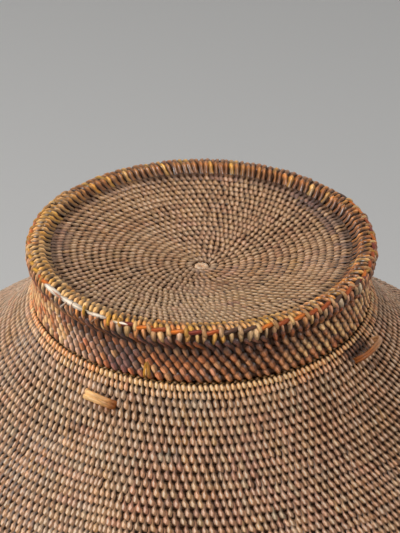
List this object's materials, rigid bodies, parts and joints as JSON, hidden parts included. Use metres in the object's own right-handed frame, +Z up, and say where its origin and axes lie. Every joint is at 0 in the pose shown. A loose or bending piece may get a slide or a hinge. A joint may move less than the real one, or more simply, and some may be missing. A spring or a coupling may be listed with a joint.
{
  "type": "lidded basket",
  "caption": "round coiled cane basket with a short neck and a dished cap lid that lifts off, and strap loops sewn round its shoulder",
  "frame": {"origin": "on the floor under the middle of the foot ring", "axes": "+Z up along the axis of the basket and of its lid, -Y towards the front, which has the lid's wall tie and two of the loops"},
  "size_m": [0.3842, 0.3842, 0.2895],
  "materials": {
    "lid_start_knot": "matte cane splint",
    "lid_top": "matte cane splint",
    "lid_rim_roll": "satin golden cane splint",
    "lid_rim_strand": "satin pale cane splint",
    "lid_wall": "satin brown cane splint",
    "lid_edge_coil": "satin brown cane splint",
    "lid_wall_tie": "satin ochre cane splint",
    "neck_collar": "matte cane splint",
    "neck_rim_coil": "satin ochre cane splint",
    "shoulder_top_coil": "satin ochre cane splint",
    "shoulder_wall": "matte cane splint",
    "belly_upper_wall": "matte cane splint",
    "belly_lower_wall": "matte cane splint",
    "lower_wall": "matte cane splint",
    "heel_wall": "matte cane splint",
    "base_disc": "matte cane splint",
    "base_start_knot": "matte cane splint",
    "foot_ring": "matte cane splint",
    "loop_front_left": "satin golden cane splint",
    "loop_front_right": "satin golden cane splint",
    "loop_back_right": "satin golden cane splint",
    "loop_back_left": "satin golden cane splint"
  },
  "bodies": {
    "basket": {"neck_collar": "neck_collar", "neck_rim_coil": "neck_rim_coil", "shoulder_top_coil": "shoulder_top_coil", "shoulder_wall": "shoulder_wall", "belly_upper_wall": "belly_upper_wall", "belly_lower_wall": "belly_lower_wall", "lower_wall": "lower_wall", "heel_wall": "heel_wall", "base_disc": "base_disc", "base_start_knot": "base_start_knot", "foot_ring": "foot_ring", "loop_front_left": "loop_front_left", "loop_front_right": "loop_front_right", "loop_back_right": "loop_back_right", "loop_back_left": "loop_back_left"},
    "lid": {"lid_start_knot": "lid_start_knot", "lid_top": "lid_top", "lid_rim_roll": "lid_rim_roll", "lid_rim_strand": "lid_rim_strand", "lid_wall": "lid_wall", "lid_edge_coil": "lid_edge_coil", "lid_wall_tie": "lid_wall_tie"}
  },
  "joints": [
    {"name": "lid_lift", "type": "slide", "parent": "basket", "child": "lid", "axis": [0, 0, 1], "range_m": [0, 0.15]}
  ]
}
